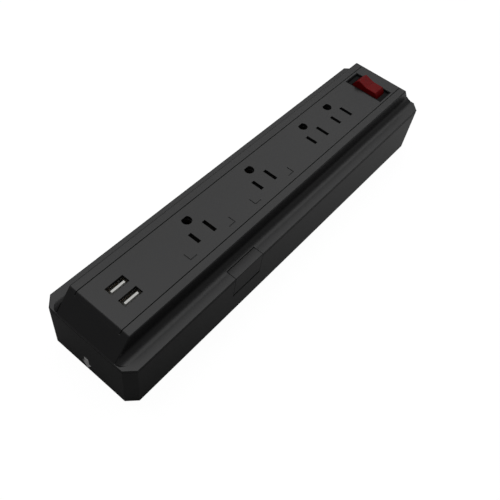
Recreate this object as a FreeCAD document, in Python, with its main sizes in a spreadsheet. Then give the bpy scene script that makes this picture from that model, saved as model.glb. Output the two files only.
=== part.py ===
import FreeCAD, Part
import Sketcher
import math
import os
import re

# A four-outlet power strip with two USB sockets, a rocker switch and a cord reel in its base.
# Frame: X runs along the strip, -X is the USB end and +X the switch end.
# The release tab is on the -Y side. +Z is up and z = 0 is the underside of the rubber feet.

os.makedirs("parts", exist_ok=True)
doc = FreeCAD.newDocument("PowerStrip")
sheet = doc.addObject("Spreadsheet::Sheet", "Sizes")
sub_parts = []

# Driving sizes, in millimetres and degrees
given = {
    # Case
    "case_length": 300.0,
    "case_width": 66.8,
    "corner_cut": 5.8,
    "deck_height": 37.8,
    "hump_rise": 14.4,
    "hump_half": 22.3,
    "cove_radius": 5.4,
    "slope_run": 11.2,
    "slope_land": 0.4,
    "hump_corner": 6.2,
    "end_wall": 4.0,
    "case_wall": 2.2,
    "floor_skin": 2.4,
    "deck_skin": 1.6,
    "base_round": 0.8,
    "deck_round": 0.5,
    "seam_bevel": 0.45,
    "rail_round": 0.9,
    "tongue_depth": 3.0,
    "tongue_skin": 1.3,
    "tongue_gap": 0.25,
    # Feet and screws
    "foot_proud": 0.6,
    "foot_radius": 5.0,
    "foot_sunk": 1.2,
    "foot_gap": 0.2,
    "foot_from_end": 34.0,
    "foot_from_side": 12.0,
    "boss_radius": 3.4,
    "boss_from_end": 16.0,
    "boss_from_middle": 20.0,
    "boss_from_side": 7.2,
    "boss_joint": 6.0,
    "joint_gap": 0.2,
    "screw_radius": 1.45,
    "screw_length": 14.0,
    "screw_play": 0.05,
    "head_radius": 2.6,
    "head_height": 1.8,
    "head_sunk": 2.2,
    "head_gap": 0.25,
    "drive_long": 3.4,
    "drive_wide": 0.7,
    "drive_deep": 0.8,
    "keyhole_head": 4.3,
    "keyhole_neck": 2.2,
    "keyhole_run": 9.0,
    "keyhole_from_end": 40.0,
    "keyhole_pitch": 158.0,
    # Outlet panel
    "panel_half": 16.5,
    "panel_thick": 2.4,
    "groove_gap": 0.45,
    "panel_lip": 2.3,
    "lip_skin": 1.6,
    "panel_round": 1.6,
    "first_outlet": -63.5,
    "outlet_pitch": 57.25,
    "blade_spacing": 12.7,
    "blade_line": -3.3,
    "ground_from_blades": 11.9,
    "hot_slot": 8.0,
    "neutral_slot": 9.6,
    "slot_width": 2.5,
    "ground_radius": 3.2,
    "ground_flat": 2.4,
    "mark_reach": 19.0,
    "mark_line": -12.1,
    "mark_leg": 5.0,
    "mark_width": 0.6,
    "mark_depth": 0.4,
    # USB sockets
    "usb_from_end": 28.6,
    "usb_middle": -0.35,
    "usb_pitch": 10.1,
    "usb_wide": 12.8,
    "usb_tall": 5.4,
    "usb_skin": 0.35,
    "usb_deep": 13.0,
    "tongue_wide": 9.6,
    "tongue_thick": 1.4,
    "tongue_off": -0.5,
    "tongue_sunk": 1.0,
    "board_thick": 1.6,
    "board_inset": 4.0,
    "usb_board_long": 26.0,
    "usb_board_off": 2.0,
    "core_long": 12.0,
    "core_wide": 14.0,
    "core_tall": 11.0,
    "core_window": 9.0,
    "core_bar": 2.2,
    "core_line": -8.0,
    "core_off": 6.0,
    "winding_long": 15.0,
    "winding_gap": 0.1,
    "winding_round": 1.2,
    "can_radius": 4.0,
    "can_tall": 12.0,
    "can_line": 9.0,
    "can_first": 10.0,
    "can_pitch": 11.0,
    "pin_pitch": 2.4,
    "pin_wide": 1.1,
    "pin_thick": 0.2,
    "pin_long": 8.2,
    # Rocker switch
    "switch_from_end": 29.4,
    "bezel_length": 30.2,
    "bezel_width": 15.2,
    "bezel_fit": 0.15,
    "bezel_rim": 0.7,
    "bezel_sunk": 1.5,
    "bezel_skin": 1.2,
    "rocker_width": 10.4,
    "rocker_radius": 10.8,
    "rocker_gap": 0.3,
    "rocker_tilt": 8.5,
    "rocker_proud": 2.5,
    "pivot_sunk": 4.2,
    "rocker_keel": 3.0,
    "keel_half": 6.6,
    "axle_radius": 1.2,
    "axle_play": 0.05,
    "axle_reach": 0.7,
    "switch_skin": 1.1,
    "switch_deep": 14.0,
    "switch_floor": 1.6,
    "terminal_wide": 6.3,
    "terminal_thick": 0.8,
    "terminal_long": 8.0,
    "terminal_tip": 2.2,
    "lamp_radius": 1.4,
    "lamp_length": 14.0,
    "rocker_round": 0.5,
    # Sockets and bus bars
    "block_long": 26.0,
    "block_wide": 28.0,
    "block_tall": 14.0,
    "block_roof": 2.6,
    "seat_gap": 0.2,
    "cell_width": 5.0,
    "bus_thick": 0.8,
    "bus_wide": 3.8,
    "bus_run_out": 14.0,
    "clip_wide": 4.0,
    "clip_tall": 10.0,
    "leaf_thick": 0.5,
    "leaf_gap": 1.5,
    "ground_leaf_gap": 4.6,
    "plate_thick": 1.6,
    "plate_half": 19.4,
    "plate_past_reel": 20.0,
    "plate_past_outlet": 20.4,
    "post_radius": 2.2,
    "post_line": 17.2,
    "post_first": -40.0,
    "post_pitch": 66.0,
    "small_screw": 1.0,
    "small_length": 8.0,
    "small_head": 1.9,
    "small_head_tall": 1.1,
    # Release tab
    "tab_from_end": 96.0,
    "tab_width": 24.6,
    "tab_gap": 0.3,
    "tab_inner": 26.4,
    "tab_skin": 1.9,
    "tab_foot_level": 21.4,
    "tab_travel": 1.6,
    "tab_slot_gap": 0.4,
    "flange_side": 1.8,
    "flange_skin": 1.1,
    "flange_low": 23.0,
    "spring_radius": 2.0,
    "spring_wire": 0.5,
    "spring_turns": 6.0,
    "spring_spread": 8.0,
    "spring_seat": 12.9,
    "pad_deep": 5.4,
    "pad_tall": 1.4,
    "shelf_deep": 7.4,
    "shelf_thick": 2.0,
    "shelf_side": 5.0,
    "arm_half": 3.0,
    "arm_lift": 0.8,
    "arm_tall": 1.6,
    # Brake lever
    "lever_from_side": 10.4,
    "lever_wide": 3.0,
    "lever_thick": 2.0,
    "lever_level": 27.9,
    "lever_long": 14.0,
    "press_arm": 12.0,
    "nib_half": 1.2,
    "nib_tall": 1.2,
    "brake_gap": 0.3,
    "brake_pad": 5.0,
    "pin_radius": 1.2,
    "ear_skin": 1.3,
    "ear_half": 2.6,
    "ear_drop": 2.4,
    "lever_hub": 2.2,
    # Cord reel
    "reel_from_end": 62.0,
    "reel_radius": 28.0,
    "reel_low": 4.0,
    "reel_tall": 21.6,
    "reel_flange": 1.6,
    "reel_windows": 6,
    "window_web": 4.0,
    "hub_radius": 14.0,
    "cup_radius": 12.6,
    "cup_deep": 8.0,
    "spindle_radius": 2.95,
    "spindle_play": 0.05,
    "spindle_boss": 6.0,
    "clip_radius": 4.6,
    "clip_thick": 0.8,
    "ring_first": 6.6,
    "ring_pitch": 3.4,
    "ring_wide": 1.8,
    "ring_thick": 0.5,
    "brush_radius": 0.8,
    "brush_gap": 0.3,
    "brush_block_tall": 2.6,
    "brush_block_wide": 7.0,
    "coil_thick": 0.35,
    "coil_pitch": 1.15,
    "coil_tall": 6.0,
    "mouth_from_end": 17.0,
    "mouth_long": 16.0,
    "mouth_wide": 20.0,
    "mouth_rim": 1.4,
    "mouth_flange": 2.0,
    "trim_round": 0.5,
    # Filter board
    "filter_at": 44.0,
    "filter_long": 66.0,
    "filter_wide": 42.0,
    "filter_post": 6.0,
    "filter_post_radius": 2.6,
    "filter_screw_long": 6.3,
    "disc_from_end": 11.0,
    "disc_line": 6.0,
    "disc_lift": 0.8,
    "lead_thick": 0.8,
    "lead_spread": 5.0,
    "fuse_radius": 2.6,
    "fuse_long": 20.0,
    "fuse_from_end": 13.0,
    "fuse_line": -8.0,
    "film_long": 18.0,
    "film_wide": 8.0,
    "film_tall": 12.0,
    "film_line": -9.0,
    "film_round": 0.8,
    "coils_from_end": 13.0,
    "choke_line": 9.0,
    "choke_round": 1.4,
    "disc_radius": 6.0,
    "disc_thick": 3.6,
    "disc_pitch": 9.0,
    "choke_radius": 9.4,
    "choke_hole": 3.6,
    "choke_tall": 6.4,
}
for row, (name, value) in enumerate(given.items(), 1):
    sheet.set("A%d" % row, name)
    sheet.set("B%d" % row, str(value))
    sheet.setAlias("B%d" % row, name)
doc.recompute()

# Levels and lines that several pieces share, written as rules on the sheet
UNDERSIDE = "foot_proud"
FLOOR = "(foot_proud + floor_skin)"
DECK = "(foot_proud + deck_height)"
SEAM = "(foot_proud + deck_height - deck_skin)"
CROWN = "(foot_proud + deck_height + hump_rise)"
PANEL_UNDER = "(foot_proud + deck_height + hump_rise - panel_thick)"
LIP_UNDER = "(foot_proud + deck_height + hump_rise - panel_thick - lip_skin)"
INNER_HALF = "(case_width/2 - case_wall)"
SHELF_LINE = "(-%s + shelf_deep/2 - 0.1)" % INNER_HALF
BLOCK_LOW = "(foot_proud + deck_height + hump_rise - panel_thick - seat_gap - block_tall)"
BUS_LOW = "(%s - bus_thick)" % BLOCK_LOW
PLATE_TOP = BUS_LOW
PLATE_LOW = "(%s - plate_thick)" % BUS_LOW
PIVOT = "(%s - pivot_sunk)" % CROWN
REEL_TOP = "(reel_low + reel_tall)"
BOSS_LINE = "(case_width/2 - boss_from_side)"
BOARD_TOP = "(%s - usb_deep - 0.07)" % PANEL_UNDER
BOARD_MIDDLE = "(usb_at - usb_board_off)"
BOARD_SCREW = "(%s - usb_board_long/2 + board_inset)" % BOARD_MIDDLE
OUTLETS = ["first_outlet", "(first_outlet + outlet_pitch)",
           "(first_outlet + 2*outlet_pitch)", "(first_outlet + 2.5*outlet_pitch)"]
USB_LINES = ["(usb_middle + usb_pitch/2)", "(usb_middle - usb_pitch/2)"]
ALONG = {
    "X": FreeCAD.Rotation(FreeCAD.Vector(0, 1, 0), 90),
    "Y": FreeCAD.Rotation(FreeCAD.Vector(1, 0, 0), -90),
    "Z": FreeCAD.Rotation(),
}
FACING = {
    "XY": FreeCAD.Rotation(),
    "XZ": FreeCAD.Rotation(FreeCAD.Vector(1, 0, 0), 90),
    "YZ": FreeCAD.Rotation(FreeCAD.Vector(1, 1, 1), 120),
}


# Places that follow an end of the case, or the piece that they work with
PLACES = {
    "plate_front": "(reel_at - plate_past_reel)",
    "plate_back": "(%s + plate_past_outlet)" % OUTLETS[3],
    "lever_pivot": "(tab_at - press_arm)",
    "lever_line": "(case_width/2 - lever_from_side)",
    "usb_at": "(usb_from_end - case_length/2)",
    "reel_at": "(reel_from_end - case_length/2)",
    "mouth_at": "(mouth_from_end - case_length/2)",
    "tab_at": "(tab_from_end - case_length/2)",
    "switch_at": "(case_length/2 - switch_from_end)",
    "keyhole_at": "(case_length/2 - keyhole_from_end)",
}


def rule(text):
    """Turn plain size names into names that the sheet answers to."""
    for name, worked_out in PLACES.items():
        text = re.sub(r"\b%s\b" % name, worked_out, text)
    return re.sub(r"[a-z]+(_[a-z]+)+", lambda found: "Sizes." + found.group(0), text)


def bind(item, prop, text):
    """Tie one property to the sheet."""
    item.setExpression(prop, rule(text))


def place(item, x, y, z):
    """Tie the position of a piece to the sheet."""
    bind(item, ".Placement.Base.x", x)
    bind(item, ".Placement.Base.y", y)
    bind(item, ".Placement.Base.z", z)
    return item


def box(name, x, y, z, long_x, wide_y, tall_z):
    """A block whose low corner is at x, y, z."""
    item = doc.addObject("Part::Box", name)
    bind(item, "Length", long_x)
    bind(item, "Width", wide_y)
    bind(item, "Height", tall_z)
    return place(item, x, y, z)


def slab(name, x, y, z, long_x, wide_y, tall_z):
    """A block centred on x and y, standing on z."""
    return box(name, "%s - (%s)/2" % (x, long_x), "%s - (%s)/2" % (y, wide_y), z, long_x, wide_y, tall_z)


def rod(name, x, y, z, radius, length, axis="Z"):
    """A round bar from x, y, z along one axis."""
    item = doc.addObject("Part::Cylinder", name)
    bind(item, "Radius", radius)
    bind(item, "Height", length)
    item.Placement = FreeCAD.Placement(FreeCAD.Vector(), ALONG[axis])
    return place(item, x, y, z)


def fuse(name, pieces):
    """Join pieces that are moulded or pressed as one."""
    item = doc.addObject("Part::MultiFuse", name)
    item.Shapes = pieces
    item.Refine = True
    return item


def cut(name, base, tools):
    """Take the tools out of the base."""
    item = doc.addObject("Part::Cut", name)
    item.Base = base
    item.Tool = tools[0] if len(tools) == 1 else fuse(name + "_tools", tools)
    item.Refine = True
    return item


def common(name, first, second):
    """Keep what two pieces share."""
    item = doc.addObject("Part::Common", name)
    item.Base = first
    item.Tool = second
    return item


def group(name, pieces):
    """Several like solids that share one node."""
    item = doc.addObject("Part::Compound", name)
    item.Links = pieces
    return item


def outline(body, name, corners, level="0"):
    """A closed sketch on the body's own ground plane, each corner held by two bound distances."""
    sketch = body.newObject("Sketcher::SketchObject", name)
    ground = [plane for plane in body.Origin.OriginFeatures if plane.Role == "XY_Plane"][0]
    sketch.AttachmentSupport = (ground, [""])
    sketch.MapMode = "FlatFace"
    bind(sketch, ".AttachmentOffset.Base.z", level)
    count = len(corners)
    for index in range(count):
        start = 2*math.pi*index/count
        stop = 2*math.pi*(index + 1)/count
        first = FreeCAD.Vector(math.cos(start), math.sin(start), 0)
        second = FreeCAD.Vector(math.cos(stop), math.sin(stop), 0)
        sketch.addGeometry(Part.LineSegment(first, second), False)
    for index in range(count):
        sketch.addConstraint(Sketcher.Constraint("Coincident", index, 2, (index + 1) % count, 1))
    for index, corner in enumerate(corners):
        for kind, text in zip(("DistanceX", "DistanceY"), corner):
            number = sketch.addConstraint(Sketcher.Constraint(kind, -1, 1, index, 1, 1.0))
            bind(sketch, "Constraints[%d]" % number, text)
    return sketch


def prism(name, facing, corners, start, length):
    """A padded outline. XY pads go up from start, YZ pads go to +X, XZ pads go to -Y."""
    body = doc.addObject("PartDesign::Body", name)
    sketch = outline(body, name + "_outline", corners)
    pad = body.newObject("PartDesign::Pad", name + "_pad")
    pad.Profile = sketch
    bind(pad, "Length", length)
    body.Placement = FreeCAD.Placement(FreeCAD.Vector(), FACING[facing])
    axis = {"XY": "z", "YZ": "x", "XZ": "y"}[facing]
    bind(body, ".Placement.Base." + axis, start)
    sketch.Visibility = False
    return body


def clipped(inset):
    """Corners of the case outline, moved in by an inset, with its four corners cut off."""
    end = "(case_length/2 - %s)" % inset
    side = "(case_width/2 - %s)" % inset
    trim = "(corner_cut - 0.5858*%s)" % inset
    return [
        ("-%s + %s" % (end, trim), "-" + side), ("%s - %s" % (end, trim), "-" + side),
        (end, "-%s + %s" % (side, trim)), (end, "%s - %s" % (side, trim)),
        ("%s - %s" % (end, trim), side), ("-%s + %s" % (end, trim), side),
        ("-" + end, "%s - %s" % (side, trim)), ("-" + end, "-%s + %s" % (side, trim)),
    ]


def softened(name, base, radius, chosen, kind="Part::Fillet"):
    """Round or bevel the edges that the chooser picks."""
    doc.recompute()
    item = doc.addObject(kind, name)
    item.Base = base
    edges = []
    for number, edge in enumerate(base.Shape.Edges, 1):
        if chosen(edge):
            edges.append((number, radius, radius))
    item.Edges = edges
    return item


def finish(label, item):
    """Name a finished sub-part. Its label is also the name of its file."""
    item.Label = label
    sub_parts.append(item)
    return item


def level_of(edge):
    """Height of an edge that lies level, or None."""
    bounds = edge.BoundBox
    return bounds.ZMin if bounds.ZLength < 1e-4 else None


def is_level(edge):
    return level_of(edge) is not None


def near(value, target):
    return value is not None and abs(value - target) < 1e-3


# Plain numbers for the edge choosers, from the same sizes
under_z = given["foot_proud"]
deck_z = given["foot_proud"] + given["deck_height"]
seam_z = deck_z - given["deck_skin"]
crown_z = deck_z + given["hump_rise"]
tab_x = given["tab_from_end"] - given["case_length"]/2
reel_x = given["reel_from_end"] - given["case_length"]/2


def hump_outline():
    """The strip's long section: level crown with a slope at each end."""
    end = "(case_length/2 - slope_land)"
    return [
        ("-" + end, SEAM), (end, SEAM), (end, DECK), (end + " - slope_run", CROWN),
        ("-%s + slope_run" % end, CROWN), ("-" + end, DECK),
    ]


def boss_places():
    """The three pairs of case screws."""
    end = "(case_length/2 - boss_from_end)"
    for across in ("-" + BOSS_LINE, BOSS_LINE):
        for along in ("-" + end, "boss_from_middle", end):
            yield along, across


# Lower case: an open tub with clipped corners, a rounded bottom edge and screw bosses
def lower_case():
    body = doc.addObject("PartDesign::Body", "tub")
    pad = body.newObject("PartDesign::Pad", "tub_pad")
    pad.Profile = outline(body, "tub_outline", clipped("0"), UNDERSIDE)
    bind(pad, "Length", "deck_height - deck_skin")
    doc.recompute()
    full = pad.Shape.Volume
    hollow = body.newObject("PartDesign::Pocket", "tub_hollow")
    hollow.Profile = outline(body, "tub_inside", clipped("case_wall"), SEAM)
    bind(hollow, "Length", "deck_height - deck_skin - floor_skin")
    doc.recompute()
    if hollow.Shape.Volume > 0.5*full:
        raise RuntimeError("the tub is not hollow")

    def bottom_edges(edge):
        return near(level_of(edge), under_z)

    def seam_edges(edge):
        """The outer edges of the rim, which lie further out than the middle of the wall."""
        from_end = given["case_length"]/2 - abs(edge.CenterOfMass.x)
        from_side = given["case_width"]/2 - abs(edge.CenterOfMass.y)
        from_corner = (from_end + from_side - given["corner_cut"])/math.sqrt(2)
        return near(level_of(edge), seam_z) and min(from_end, from_side, from_corner) < given["case_wall"]/2

    base = softened("tub_rounded", body, given["base_round"], bottom_edges)
    base = softened("tub_bevelled", base, given["seam_bevel"], seam_edges, "Part::Chamfer")
    solids = [base]
    holes = []
    for number, (along, across) in enumerate(boss_places()):
        solids.append(rod("low_boss_%d" % number, along, across, "%s - 0.5" % FLOOR,
                          "boss_radius + 0.4", "boss_joint + 0.5"))
        holes.append(rod("low_bore_%d" % number, along, across, UNDERSIDE + " - 1",
                         "screw_radius + 0.25", "boss_joint + floor_skin + 2"))
        holes.append(rod("head_well_%d" % number, along, across, UNDERSIDE + " - 1",
                         "head_radius + head_gap", "head_sunk + head_height + 1"))
    for number, (along, across) in enumerate(foot_places()):
        holes.append(rod("foot_well_%d" % number, along, across, UNDERSIDE + " - 1",
                         "foot_radius + foot_gap", "foot_sunk + 1"))
    for number, along in enumerate(("keyhole_at - keyhole_pitch", "keyhole_at")):
        holes.append(rod("keyhole_head_%d" % number, along, "0", UNDERSIDE + " - 1",
                         "keyhole_head", "floor_skin + 2"))
        holes.append(box("keyhole_neck_%d" % number, along, "-keyhole_neck", UNDERSIDE + " - 1",
                         "keyhole_run", "2*keyhole_neck", "floor_skin + 2"))
        holes.append(rod("keyhole_end_%d" % number, along + " + keyhole_run", "0", UNDERSIDE + " - 1",
                         "keyhole_neck", "floor_skin + 2"))
    solids.append(slab("spring_shelf", "tab_at", SHELF_LINE, "spring_seat - shelf_thick",
                       "2*spring_spread + 2*shelf_side", "shelf_deep", "shelf_thick"))
    for number, side in enumerate(("-", "+")):
        middle = "tab_at %s (spring_spread + shelf_side - shelf_thick/2)" % side
        solids.append(slab("shelf_rib_%d" % number, middle,
                           SHELF_LINE, FLOOR + " - 0.5", "shelf_thick", "shelf_deep",
                           "spring_seat - shelf_thick/2 + 0.5 - %s" % FLOOR))
    solids.append(rod("spindle_boss", "reel_at", "0", FLOOR + " - 0.5", "spindle_boss",
                      "reel_low - %s + 0.5 - joint_gap" % FLOOR))
    holes.append(rod("spindle_seat", "reel_at", "0", UNDERSIDE + " + 0.8",
                     "spindle_radius", "reel_low"))
    for number, (along, across) in enumerate(filter_posts()):
        solids.append(rod("filter_post_%d" % number, along, across, FLOOR + " - 0.5",
                          "filter_post_radius", "filter_post + 0.5"))
        holes.append(rod("filter_bore_%d" % number, along, across, FLOOR + " + 1",
                         "small_screw + screw_play", "filter_post"))
    holes.append(slab("tab_notch", "tab_at", "-case_width/2", "tab_foot_level - tab_travel - tab_slot_gap",
                      "tab_width + 2*tab_gap", "2*case_wall + 1", "deck_height"))
    holes.append(slab("mouth_hole", "mouth_at", "0", UNDERSIDE + " - 1",
                      "mouth_long", "mouth_wide", "floor_skin + 2"))
    finish("lower_case", cut("lower_case_body", fuse("lower_case_solid", solids), holes))


def foot_places():
    end = "(case_length/2 - foot_from_end)"
    side = "(case_width/2 - foot_from_side)"
    for across in ("-" + side, side):
        for along in ("-" + end, end):
            yield along, across


def filter_posts():
    for side in ("-", "+"):
        across = "0 %s (filter_wide/2 - board_inset)" % side
        for end in ("-", "+"):
            yield "filter_at %s (filter_long/2 - board_inset)" % end, across


# Top cover: the deck, the hump with its coves and end slopes, and the two rails beside the panel
def top_cover():
    deck = prism("deck_plate", "XY", clipped("0"), SEAM, "deck_skin")

    def deck_edges(edge):
        return near(level_of(edge), deck_z)

    def seam_edges(edge):
        return near(level_of(edge), seam_z)

    deck = softened("deck_rounded", deck, given["deck_round"], deck_edges)
    deck = softened("deck_bevelled", deck, given["seam_bevel"], seam_edges, "Part::Chamfer")
    wall = box("hump_wall", "-case_length/2", "-hump_half", SEAM, "case_length", "2*hump_half",
               "deck_skin + hump_rise")
    slopes = prism("hump_slopes", "XZ", hump_outline(), "case_width/2", "case_width")

    def crown_ends(edge):
        return near(level_of(edge), crown_z) and edge.BoundBox.YLength > given["hump_half"]

    slopes = softened("hump_slopes_rounded", slopes, given["panel_round"], crown_ends)
    hump = common("hump_form", wall, slopes)

    def rail_edges(edge):
        side = abs(abs(edge.BoundBox.Center.y) - given["hump_half"]) < 0.01
        flat = edge.BoundBox.YLength < 0.01
        return side and flat and edge.BoundBox.ZMax > deck_z + 0.1 and edge.BoundBox.XLength > 0.5

    hump = softened("hump_rounded", hump, given["rail_round"], rail_edges)
    coves = []
    for name, side in (("near", "-1"), ("far", "1")):
        block = slab("cove_block_" + name, "0", "%s*(hump_half + cove_radius/2)" % side, DECK + " - 0.5",
                     "case_length", "cove_radius", "cove_radius + 0.5")
        scoop = rod("cove_scoop_" + name, "-case_length/2 - 1", "%s*(hump_half + cove_radius)" % side,
                    DECK + " + cove_radius", "cove_radius", "case_length + 2", "X")
        fillet = cut("cove_" + name, block, [scoop])
        slopes = prism("cove_slopes_" + name, "XZ", hump_outline(), "case_width/2", "case_width")
        coves.append(common("cove_form_" + name, fillet, slopes))
    rise = "(hump_rise + deck_skin - panel_thick - lip_skin)"
    inner = "(case_length/2 - slope_land - end_wall)"
    slant = "(hump_rise - panel_thick - lip_skin)*slope_run/hump_rise"
    cavity = prism("hump_cavity", "XZ", [
        ("-" + inner, SEAM + " - 1"), (inner, SEAM + " - 1"), (inner, DECK),
        ("%s - %s" % (inner, slant), "%s + %s" % (SEAM, rise)),
        ("-%s + %s" % (inner, slant), "%s + %s" % (SEAM, rise)),
        ("-" + inner, DECK),
    ], "hump_half - case_wall", "2*(hump_half - case_wall)")
    window = slab("panel_window", "0", "0", PANEL_UNDER, "case_length + 2",
                  "2*(panel_half + groove_gap)", "panel_thick + 5")
    under = slab("panel_opening", "0", "0", LIP_UNDER + " - 1",
                 "2*(%s - slope_run - panel_lip + 1)" % inner,
                 "2*(panel_half - panel_lip)", "lip_skin + 2")
    ring = cut("tongue_ring", prism("tongue_outer", "XY", clipped("(case_wall + tongue_gap)"),
                                    SEAM + " - tongue_depth", "tongue_depth + 0.4"),
               [prism("tongue_inner", "XY", clipped("(case_wall + tongue_gap + tongue_skin)"),
                      SEAM + " - tongue_depth - 1", "tongue_depth + 3")])
    plan = slab("hump_plan", "0", "0", SEAM + " - 1", "case_length - 2*slope_land",
                "2*(hump_half + cove_radius)", "hump_rise + 5")

    def upright_edges(edge):
        return edge.BoundBox.ZLength > given["hump_rise"]

    plan = softened("hump_plan_rounded", plan, given["hump_corner"], upright_edges)
    raised = common("hump_raised", fuse("hump_with_coves", [hump] + coves), plan)
    shell = cut("cover_shell", fuse("cover_outside", [deck, raised]), [cavity])
    solids = [shell, ring]
    holes = [window, under]
    for number, (along, across) in enumerate(boss_places()):
        solids.append(rod("cover_boss_%d" % number, along, across, FLOOR + " + boss_joint + joint_gap",
                          "boss_radius", "%s - %s - boss_joint - joint_gap + 0.5" % (SEAM, FLOOR)))
        holes.append(rod("cover_bore_%d" % number, along, across, FLOOR + " + boss_joint",
                         "screw_radius + screw_play", "screw_length"))
    for number, (along, across) in enumerate(post_places()):
        solids.append(rod("plate_post_%d" % number, along, across, PLATE_TOP,
                          "post_radius", "%s - %s + 0.5" % (LIP_UNDER, PLATE_TOP)))
        holes.append(rod("post_bore_%d" % number, along, across, PLATE_TOP + " - 1",
                         "small_screw + screw_play", "small_length + 1"))
    for number, side in enumerate(("-", "+")):
        across = "0 %s post_line" % side
        solids.append(rod("board_post_%d" % number, BOARD_SCREW, across, BOARD_TOP + " + 0.02",
                          "post_radius", "%s - %s + 0.5" % (LIP_UNDER, BOARD_TOP)))
        holes.append(rod("board_post_bore_%d" % number, BOARD_SCREW, across, BOARD_TOP + " - 1",
                         "small_screw + screw_play", "small_length + 1"))
    holes.append(slab("bezel_room", "switch_at", "0", LIP_UNDER + " - 1", "bezel_width + 1",
                      "bezel_length + 0.4", "lip_skin + 2"))
    for number, across in enumerate(("-lever_line + lever_wide/2 + joint_gap",
                                     "-lever_line - lever_wide/2 - joint_gap - ear_skin")):
        low = "(lever_level - ear_drop)"
        ear = box("lever_ear_%d" % number, "lever_pivot - ear_half", across, low,
                  "2*ear_half", "ear_skin", "%s - %s + 0.4" % (SEAM, low))
        solids.append(ear)
    holes.append(rod("lever_bore", "lever_pivot", "-lever_line - 8", "lever_level",
                     "pin_radius", "16", "Y"))
    holes.append(box("deck_notch", "tab_at - tab_width/2 - tab_gap", "-case_width/2 - 1",
                     SEAM + " - tongue_depth - 1", "tab_width + 2*tab_gap",
                     "case_width/2 + 1 - tab_inner + tab_gap", "tongue_depth + deck_skin + 3"))
    whole = fuse("top_cover_solid", solids)
    finish("top_cover", cut("top_cover_body", whole, holes))


def post_places():
    for across in ("-post_line", "post_line"):
        for along in ("plate_front + 8", "post_first", "(post_first + post_pitch)", "plate_back - 5"):
            yield along, across


# Outlet panel: the inlaid strip that carries every socket opening
def outlet_panel():
    slopes = prism("panel_slopes", "XZ", hump_outline(), "case_width/2", "case_width")
    strip = slab("panel_strip", "0", "0", PANEL_UNDER + " + 0.001", "case_length", "2*panel_half",
                 "panel_thick + 1")
    panel = common("panel_form", strip, slopes)

    def end_edges(edge):
        across = edge.BoundBox.YLength > given["panel_half"]
        return near(level_of(edge), crown_z) and across

    panel = softened("panel_rounded", panel, given["panel_round"], end_edges)
    holes = []
    for number, along in enumerate(OUTLETS, 1):
        holes.append(slab("hot_hole_%d" % number, along + " - blade_spacing/2", "blade_line",
                          PANEL_UNDER + " - 1", "slot_width", "hot_slot", "panel_thick + 2"))
        holes.append(slab("neutral_hole_%d" % number, along + " + blade_spacing/2", "blade_line",
                          PANEL_UNDER + " - 1", "slot_width", "neutral_slot", "panel_thick + 2"))
        holes.append(ground_hole("ground_hole_%d" % number, along, PANEL_UNDER + " - 1", "panel_thick + 2"))
    for number, across in enumerate(USB_LINES, 1):
        holes.append(slab("usb_hole_%d" % number, "usb_at", across, PANEL_UNDER + " - 1",
                          "usb_wide", "usb_tall", "panel_thick + 2"))
    holes.append(slab("switch_hole", "switch_at", "0", PANEL_UNDER + " - 1",
                      "bezel_width", "bezel_length", "panel_thick + 2"))
    for number, along in enumerate(OUTLETS[:2]):
        for side in ("-", "+"):
            corner = "(%s %s mark_reach)" % (along, side)
            back = {"-": corner, "+": corner + " - mark_leg"}[side]
            end = "%d%s" % (number, "ab"[side == "+"])
            low = CROWN + " - mark_depth"
            holes.append(box("mark_long_" + end, back, "mark_line - mark_width/2", low,
                             "mark_leg", "mark_width", "mark_depth + 1"))
            holes.append(box("mark_wide_" + end, corner + " - mark_width/2", "mark_line", low,
                             "mark_width", "mark_leg", "mark_depth + 1"))
    finish("outlet_panel", cut("outlet_panel_body", panel, holes))


def ground_hole(name, along, low, tall):
    """A round hole with a flat on the side away from the blade slots."""
    across = "(blade_line + ground_from_blades)"
    round_part = rod(name + "_round", along, across, low, "ground_radius", tall)
    keep = slab(name + "_keep", along, across + " - ground_radius + ground_flat", low,
                "2*ground_radius + 2", "2*ground_radius", tall)
    return common(name, round_part, keep)


# Socket blocks, one behind each outlet, and the plate that carries them
def sockets():
    for number, along in enumerate(OUTLETS, 1):
        block = slab("block_%d" % number, along, "0", BLOCK_LOW, "block_long", "block_wide", "block_tall")
        tools = []
        for name, offset, long_slot in (("hot", "- blade_spacing/2", "hot_slot"),
                                        ("neutral", "+ blade_spacing/2", "neutral_slot")):
            where = "(%s %s)" % (along, offset)
            tools.append(slab("%s_slit_%d" % (name, number), where, "blade_line", BLOCK_LOW + " - 1",
                              "slot_width", long_slot, "block_tall + 2"))
            tools.append(slab("%s_cell_%d" % (name, number), where, "blade_line", BLOCK_LOW + " - 1",
                              "cell_width", long_slot + " + 1.6", "block_tall + 1 - block_roof"))
        tools.append(rod("ground_slit_%d" % number, along, "(blade_line + ground_from_blades)",
                         BLOCK_LOW + " - 1", "ground_radius - 0.2", "block_tall + 2"))
        tools.append(slab("ground_cell_%d" % number, along, "(blade_line + ground_from_blades)",
                          BLOCK_LOW + " - 1", "ground_leaf_gap + 4*leaf_thick", "2*ground_radius + 1",
                          "block_tall + 1 - block_roof"))
        finish("socket_block_%d" % number, cut("socket_%d" % number, block, tools))


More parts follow.
